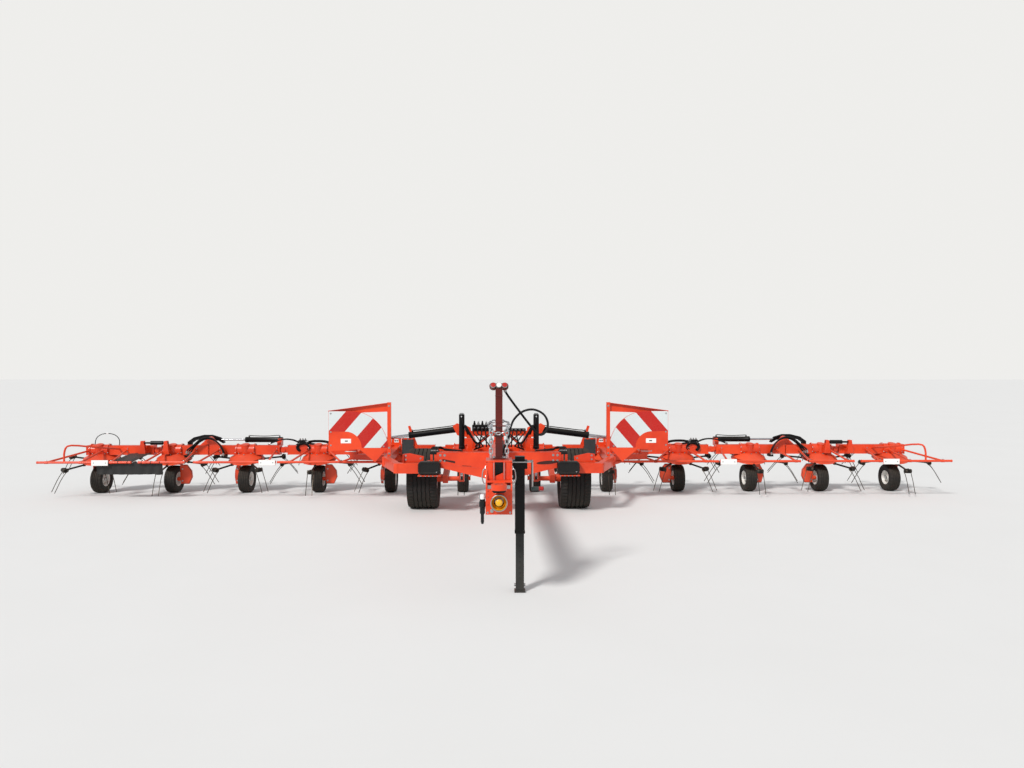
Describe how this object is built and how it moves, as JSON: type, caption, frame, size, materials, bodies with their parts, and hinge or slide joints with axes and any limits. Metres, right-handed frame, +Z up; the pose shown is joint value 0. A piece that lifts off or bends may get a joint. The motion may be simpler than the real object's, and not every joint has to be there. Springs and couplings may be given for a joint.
{
  "type": "trailed hay tedder",
  "caption": "Trailed folding hay tedder with a long drawbar, tined rotors along a hinged boom, ground wheels, guard rails, warning panels and a parking jack.",
  "frame": {"origin": "on the ground, at the middle of the machine's outline seen from above, as it stands with the wings spread", "axes": "+X across the machine to the viewer's right when the hitch is seen from the front, +Y from the hitch to the rotors, +Z up"},
  "size_m": [13.544, 6.8564, 1.731],
  "materials": {
    "red_paint": "satin",
    "dark_red_paint": "satin",
    "panel_paint": "satin",
    "black_paint": "satin",
    "tyre": "matte",
    "rod_chrome": "polished",
    "hose_rubber": "matte",
    "galvanised": "galvanised"
  },
  "bodies": {
    "chassis": {"drawbar": "red_paint", "nose": "red_paint", "pto_guard": "galvanised", "driveline": "black_paint", "centre_frame": "red_paint", "centre_beam": "red_paint", "hose_mast": "dark_red_paint", "jack_tube": "black_paint", "hoses": "hose_rubber", "chain": "galvanised", "axle_barrels": "black_paint"},
    "axle": {"axle": "red_paint"},
    "axle_rods": {"axle_rods": "rod_chrome"},
    "jack_leg": {"jack_leg": "black_paint"},
    "pto_shaft": {"pto_shaft": "rod_chrome"},
    "wing_1_l": {"frame_1_l": "red_paint", "panel_l": "panel_paint"},
    "wing_2_l": {"frame_2_l": "red_paint"},
    "wing_3_l": {"frame_3_l": "red_paint", "fold_link_l": "black_paint"},
    "wing_4_l": {"frame_4_l": "red_paint"},
    "lift_barrel_l": {"lift_barrel_l": "black_paint"},
    "lift_rod_l": {"lift_rod_l": "rod_chrome"},
    "fold_rod_l": {"fold_rod_l": "rod_chrome"},
    "road_wheel_l": {"road_wheel_l": "tyre"},
    "wing_1_r": {"frame_1_r": "red_paint", "panel_r": "panel_paint"},
    "wing_2_r": {"frame_2_r": "red_paint"},
    "wing_3_r": {"frame_3_r": "red_paint", "fold_link_r": "black_paint"},
    "wing_4_r": {"frame_4_r": "red_paint"},
    "lift_barrel_r": {"lift_barrel_r": "black_paint"},
    "lift_rod_r": {"lift_rod_r": "rod_chrome"},
    "fold_rod_r": {"fold_rod_r": "rod_chrome"},
    "road_wheel_r": {"road_wheel_r": "tyre"},
    "rotor_6": {"rotor_6": "red_paint"},
    "wheel_6": {"wheel_6": "tyre"},
    "rotor_0": {"rotor_0": "red_paint"},
    "wheel_0": {"wheel_0": "tyre"},
    "rotor_1": {"rotor_1": "red_paint"},
    "wheel_1": {"wheel_1": "tyre"},
    "rotor_2": {"rotor_2": "red_paint"},
    "wheel_2": {"wheel_2": "tyre"},
    "rotor_3": {"rotor_3": "red_paint"},
    "wheel_3": {"wheel_3": "tyre"},
    "rotor_4": {"rotor_4": "red_paint"},
    "wheel_4": {"wheel_4": "tyre"},
    "rotor_5": {"rotor_5": "red_paint"},
    "wheel_5": {"wheel_5": "tyre"},
    "rotor_7": {"rotor_7": "red_paint"},
    "wheel_7": {"wheel_7": "tyre"},
    "rotor_8": {"rotor_8": "red_paint"},
    "wheel_8": {"wheel_8": "tyre"},
    "rotor_9": {"rotor_9": "red_paint"},
    "wheel_9": {"wheel_9": "tyre"},
    "rotor_10": {"rotor_10": "red_paint"},
    "wheel_10": {"wheel_10": "tyre"},
    "rotor_11": {"rotor_11": "red_paint"},
    "wheel_11": {"wheel_11": "tyre"}
  },
  "joints": [
    {"name": "axle_lift", "type": "hinge", "parent": "chassis", "child": "axle", "pos_m": [0, 1.83099, 0.56], "axis": [1, 0, 0], "range_deg": [0, 25]},
    {"name": "axle_rod_slide", "type": "slide", "parent": "chassis", "child": "axle_rods", "axis": [0, 0, -1], "range_m": [0, 0.275]},
    {"name": "jack_slide", "type": "slide", "parent": "chassis", "child": "jack_leg", "axis": [0, 0, 1], "range_m": [0, 0.4]},
    {"name": "road_wheel_l", "type": "hinge", "parent": "axle", "child": "road_wheel_l", "pos_m": [-1.01, 1.23099, 0.4], "axis": [1, 0, 0], "continuous": true},
    {"name": "wing_l", "type": "hinge", "parent": "chassis", "child": "wing_1_l", "pos_m": [-0.9, 2.63099, 0.65], "axis": [0, 1, 0], "range_deg": [0, 88]},
    {"name": "float_b_l", "type": "hinge", "parent": "wing_1_l", "child": "wing_2_l", "pos_m": [-3.27, 2.63099, 0.65], "axis": [0, 1, 0], "range_deg": [-6, 4]},
    {"name": "fold_l", "type": "hinge", "parent": "wing_2_l", "child": "wing_3_l", "pos_m": [-4.4, 2.63099, 0.805], "axis": [0, 1, 0], "range_deg": [0, 180]},
    {"name": "float_d_l", "type": "hinge", "parent": "wing_3_l", "child": "wing_4_l", "pos_m": [-5.17, 2.63099, 0.65], "axis": [0, 1, 0], "range_deg": [-6, 4]},
    {"name": "lift_turn_l", "type": "hinge", "parent": "chassis", "child": "lift_barrel_l", "pos_m": [-0.5, 1.93099, 1.02], "axis": [0, 1, 0], "range_deg": [0, 79.14]},
    {"name": "lift_slide_l", "type": "slide", "parent": "lift_barrel_l", "child": "lift_rod_l", "axis": [0.9923, 0, 0.124], "range_m": [0, 0.73508]},
    {"name": "fold_slide_l", "type": "slide", "parent": "wing_2_l", "child": "fold_rod_l", "axis": [1, 0, 0], "range_m": [0, 0.121]},
    {"name": "road_wheel_r", "type": "hinge", "parent": "axle", "child": "road_wheel_r", "pos_m": [1.01, 1.23099, 0.4], "axis": [1, 0, 0], "continuous": true},
    {"name": "wing_r", "type": "hinge", "parent": "chassis", "child": "wing_1_r", "pos_m": [0.9, 2.63099, 0.65], "axis": [0, -1, 0], "range_deg": [0, 88]},
    {"name": "float_b_r", "type": "hinge", "parent": "wing_1_r", "child": "wing_2_r", "pos_m": [3.27, 2.63099, 0.65], "axis": [0, -1, 0], "range_deg": [-6, 4]},
    {"name": "fold_r", "type": "hinge", "parent": "wing_2_r", "child": "wing_3_r", "pos_m": [4.4, 2.63099, 0.805], "axis": [0, -1, 0], "range_deg": [0, 180]},
    {"name": "float_d_r", "type": "hinge", "parent": "wing_3_r", "child": "wing_4_r", "pos_m": [5.17, 2.63099, 0.65], "axis": [0, -1, 0], "range_deg": [-6, 4]},
    {"name": "lift_turn_r", "type": "hinge", "parent": "chassis", "child": "lift_barrel_r", "pos_m": [0.5, 1.93099, 1.02], "axis": [0, -1, 0], "range_deg": [0, 79.14]},
    {"name": "lift_slide_r", "type": "slide", "parent": "lift_barrel_r", "child": "lift_rod_r", "axis": [-0.9923, 0, 0.124], "range_m": [0, 0.73508]},
    {"name": "fold_slide_r", "type": "slide", "parent": "wing_2_r", "child": "fold_rod_r", "axis": [-1, 0, 0], "range_m": [0, 0.121]},
    {"name": "rotor_6", "type": "hinge", "parent": "chassis", "child": "rotor_6", "pos_m": [0.55, 2.63099, 0.52], "axis": [0, -0.225, 0.9744], "continuous": true},
    {"name": "wheel_6", "type": "hinge", "parent": "chassis", "child": "wheel_6", "pos_m": [0.55, 2.65099, 0.205], "axis": [1, 0, 0], "continuous": true},
    {"name": "rotor_0", "type": "hinge", "parent": "wing_4_l", "child": "rotor_0", "pos_m": [-6.05, 2.63099, 0.52], "axis": [0, -0.225, 0.9744], "continuous": true},
    {"name": "wheel_0", "type": "hinge", "parent": "wing_4_l", "child": "wheel_0", "pos_m": [-6.05, 2.65099, 0.205], "axis": [1, 0, 0], "continuous": true},
    {"name": "rotor_1", "type": "hinge", "parent": "wing_3_l", "child": "rotor_1", "pos_m": [-4.95, 2.63099, 0.52], "axis": [0, -0.225, 0.9744], "continuous": true},
    {"name": "wheel_1", "type": "hinge", "parent": "wing_3_l", "child": "wheel_1", "pos_m": [-4.95, 2.65099, 0.205], "axis": [1, 0, 0], "continuous": true},
    {"name": "rotor_2", "type": "hinge", "parent": "wing_2_l", "child": "rotor_2", "pos_m": [-3.85, 2.63099, 0.52], "axis": [0, -0.225, 0.9744], "continuous": true},
    {"name": "wheel_2", "type": "hinge", "parent": "wing_2_l", "child": "wheel_2", "pos_m": [-3.85, 2.65099, 0.205], "axis": [1, 0, 0], "continuous": true},
    {"name": "rotor_3", "type": "hinge", "parent": "wing_1_l", "child": "rotor_3", "pos_m": [-2.75, 2.63099, 0.52], "axis": [0, -0.225, 0.9744], "continuous": true},
    {"name": "wheel_3", "type": "hinge", "parent": "wing_1_l", "child": "wheel_3", "pos_m": [-2.75, 2.65099, 0.205], "axis": [1, 0, 0], "continuous": true},
    {"name": "rotor_4", "type": "hinge", "parent": "wing_1_l", "child": "rotor_4", "pos_m": [-1.65, 2.63099, 0.52], "axis": [0, -0.225, 0.9744], "continuous": true},
    {"name": "wheel_4", "type": "hinge", "parent": "wing_1_l", "child": "wheel_4", "pos_m": [-1.65, 2.65099, 0.205], "axis": [1, 0, 0], "continuous": true},
    {"name": "rotor_5", "type": "hinge", "parent": "chassis", "child": "rotor_5", "pos_m": [-0.55, 2.63099, 0.52], "axis": [0, -0.225, 0.9744], "continuous": true},
    {"name": "wheel_5", "type": "hinge", "parent": "chassis", "child": "wheel_5", "pos_m": [-0.55, 2.65099, 0.205], "axis": [1, 0, 0], "continuous": true},
    {"name": "rotor_7", "type": "hinge", "parent": "wing_1_r", "child": "rotor_7", "pos_m": [1.65, 2.63099, 0.52], "axis": [0, -0.225, 0.9744], "continuous": true},
    {"name": "wheel_7", "type": "hinge", "parent": "wing_1_r", "child": "wheel_7", "pos_m": [1.65, 2.65099, 0.205], "axis": [1, 0, 0], "continuous": true},
    {"name": "rotor_8", "type": "hinge", "parent": "wing_1_r", "child": "rotor_8", "pos_m": [2.75, 2.63099, 0.52], "axis": [0, -0.225, 0.9744], "continuous": true},
    {"name": "wheel_8", "type": "hinge", "parent": "wing_1_r", "child": "wheel_8", "pos_m": [2.75, 2.65099, 0.205], "axis": [1, 0, 0], "continuous": true},
    {"name": "rotor_9", "type": "hinge", "parent": "wing_2_r", "child": "rotor_9", "pos_m": [3.85, 2.63099, 0.52], "axis": [0, -0.225, 0.9744], "continuous": true},
    {"name": "wheel_9", "type": "hinge", "parent": "wing_2_r", "child": "wheel_9", "pos_m": [3.85, 2.65099, 0.205], "axis": [1, 0, 0], "continuous": true},
    {"name": "rotor_10", "type": "hinge", "parent": "wing_3_r", "child": "rotor_10", "pos_m": [4.95, 2.63099, 0.52], "axis": [0, -0.225, 0.9744], "continuous": true},
    {"name": "wheel_10", "type": "hinge", "parent": "wing_3_r", "child": "wheel_10", "pos_m": [4.95, 2.65099, 0.205], "axis": [1, 0, 0], "continuous": true},
    {"name": "rotor_11", "type": "hinge", "parent": "wing_4_r", "child": "rotor_11", "pos_m": [6.05, 2.63099, 0.52], "axis": [0, -0.225, 0.9744], "continuous": true},
    {"name": "wheel_11", "type": "hinge", "parent": "wing_4_r", "child": "wheel_11", "pos_m": [6.05, 2.65099, 0.205], "axis": [1, 0, 0], "continuous": true},
    {"name": "pto_turn", "type": "hinge", "parent": "chassis", "child": "pto_shaft", "pos_m": [0, -3.26901, 0.82], "axis": [0, 1, 0], "continuous": true}
  ],
  "couplings": [
    {"joint": "axle_rod_slide", "follows": "axle_lift", "m_per_rad": 0.62},
    {"joint": "lift_turn_l", "follows": "wing_l", "ratio": 0.89872},
    {"joint": "lift_slide_l", "follows": "wing_l", "m_per_rad": 0.47795},
    {"joint": "fold_slide_l", "follows": "fold_l", "m_per_rad": 0.038197},
    {"joint": "lift_turn_r", "follows": "wing_r", "ratio": 0.89872},
    {"joint": "lift_slide_r", "follows": "wing_r", "m_per_rad": 0.47795},
    {"joint": "fold_slide_r", "follows": "fold_r", "m_per_rad": 0.038197},
    {"joint": "rotor_0", "follows": "rotor_6", "ratio": 1},
    {"joint": "rotor_1", "follows": "rotor_6", "ratio": -1},
    {"joint": "rotor_2", "follows": "rotor_6", "ratio": 1},
    {"joint": "rotor_3", "follows": "rotor_6", "ratio": -1},
    {"joint": "rotor_4", "follows": "rotor_6", "ratio": 1},
    {"joint": "rotor_5", "follows": "rotor_6", "ratio": -1},
    {"joint": "rotor_7", "follows": "rotor_6", "ratio": -1},
    {"joint": "rotor_8", "follows": "rotor_6", "ratio": 1},
    {"joint": "rotor_9", "follows": "rotor_6", "ratio": -1},
    {"joint": "rotor_10", "follows": "rotor_6", "ratio": 1},
    {"joint": "rotor_11", "follows": "rotor_6", "ratio": -1},
    {"joint": "pto_turn", "follows": "rotor_6", "ratio": 3}
  ]
}
